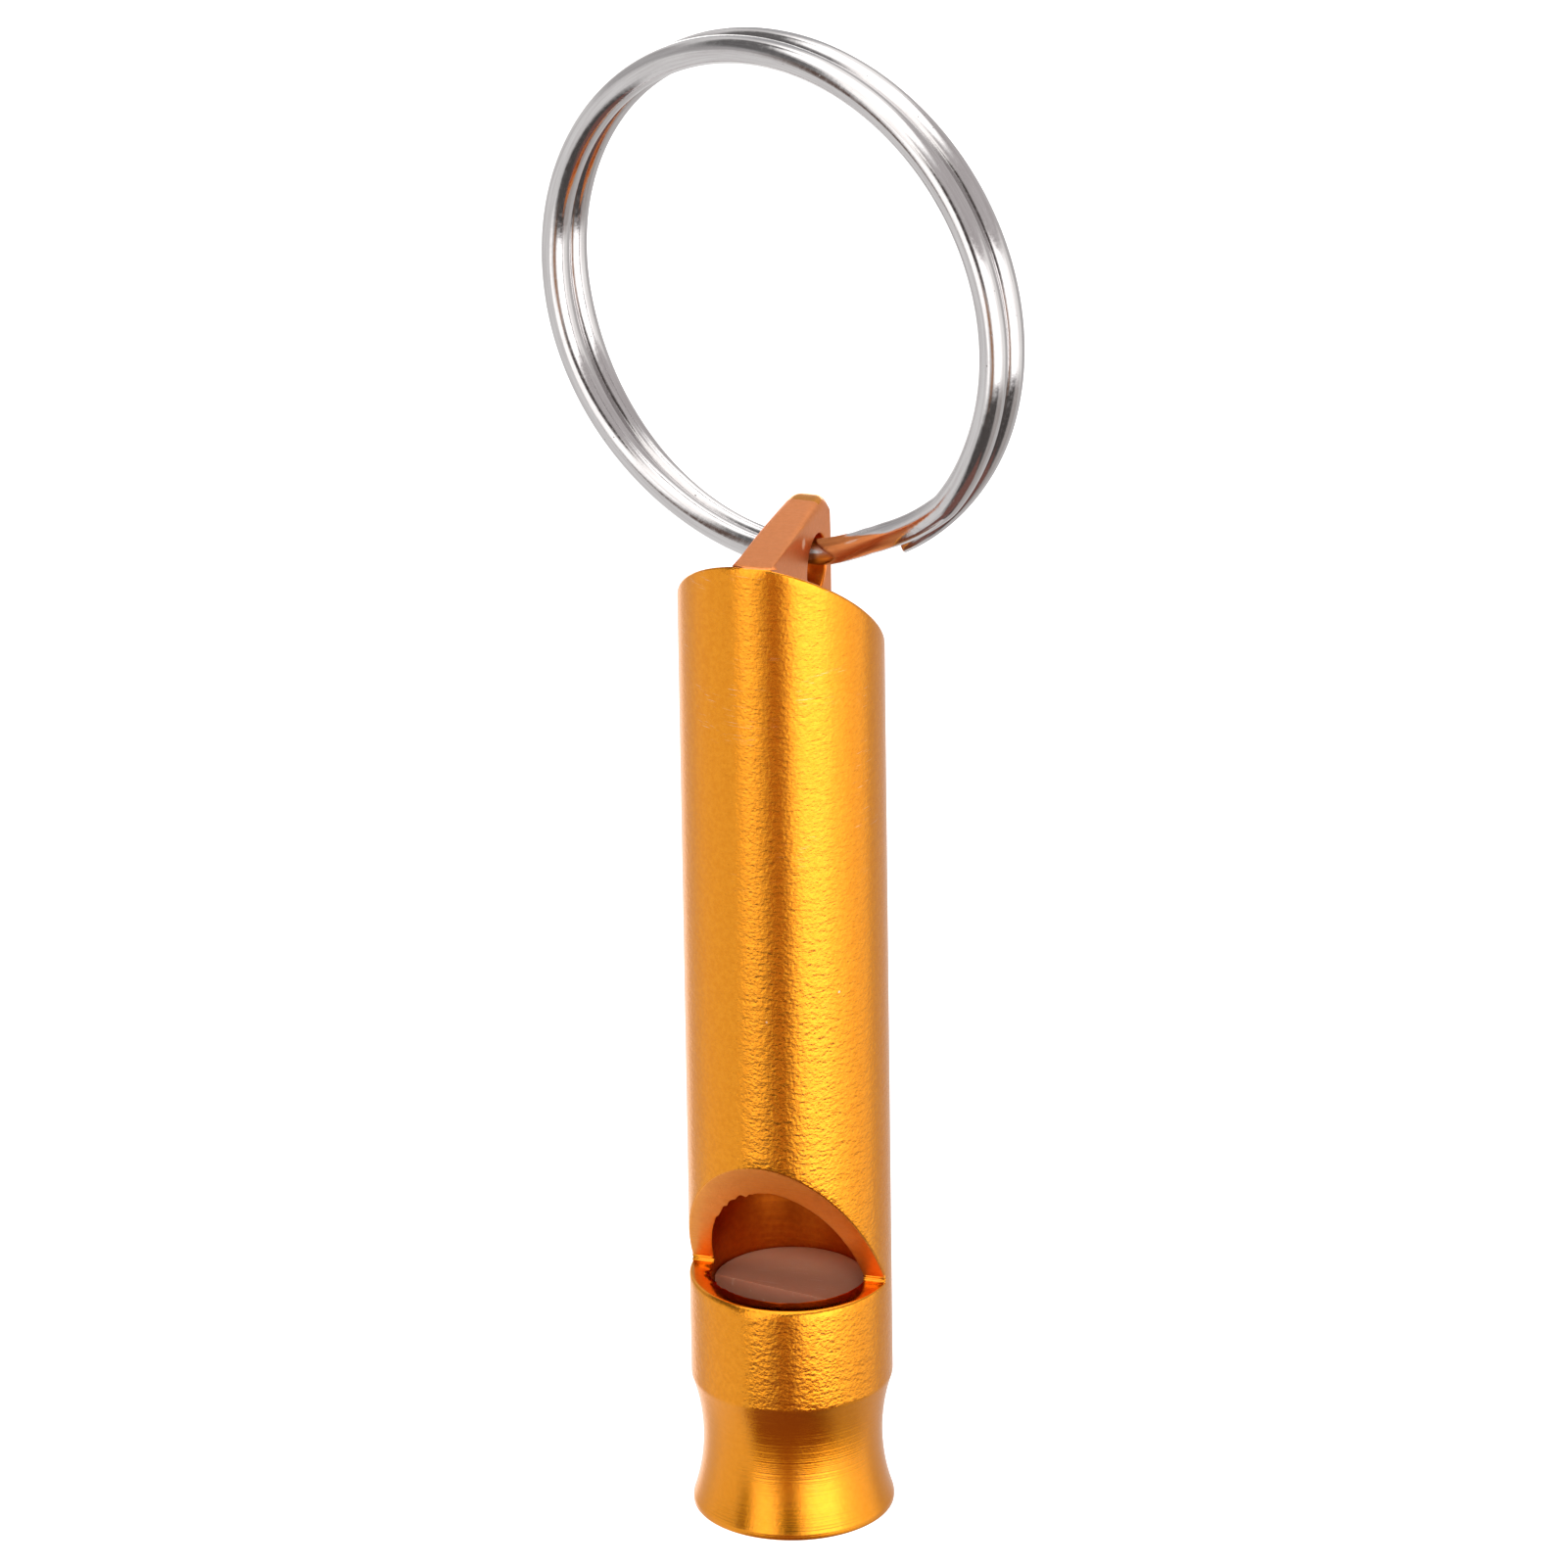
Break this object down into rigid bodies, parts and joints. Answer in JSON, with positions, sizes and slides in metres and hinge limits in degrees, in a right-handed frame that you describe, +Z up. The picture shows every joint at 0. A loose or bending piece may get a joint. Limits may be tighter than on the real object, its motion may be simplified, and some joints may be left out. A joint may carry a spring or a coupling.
{
  "type": "bird training whistle",
  "caption": "Slim tube whistle of anodised aluminium with a notched window, a plastic fipple plug and a waisted mouthpiece, hung by a drilled fin on a steel split ring.",
  "frame": {"origin": "inside of the split ring's top, where a hook or a finger carries it, in the middle of the two turns", "axes": "+Z up along the whistle from its mouth to its ring, -Y the side that the window faces, +X to the right seen from the window side, square to the fin"},
  "size_m": [0.021, 0.0098, 0.0609],
  "materials": {
    "anodised_gold": "gold-orange anodised over a fine blasted surface",
    "milky_plastic": "milky translucent, lightly scratched",
    "polished_steel": "bright polished spring-steel wire"
  },
  "bodies": {
    "ring": {"split_ring": "polished_steel"},
    "whistle": {"barrel": "anodised_gold", "fipple_plug": "milky_plastic"}
  },
  "joints": [
    {"name": "whistle_swing", "type": "hinge", "parent": "ring", "child": "whistle", "pos_m": [0.00036, 0.00037, -0.02049], "axis": [1, 0, 0], "range_deg": [-35, 140]}
  ]
}
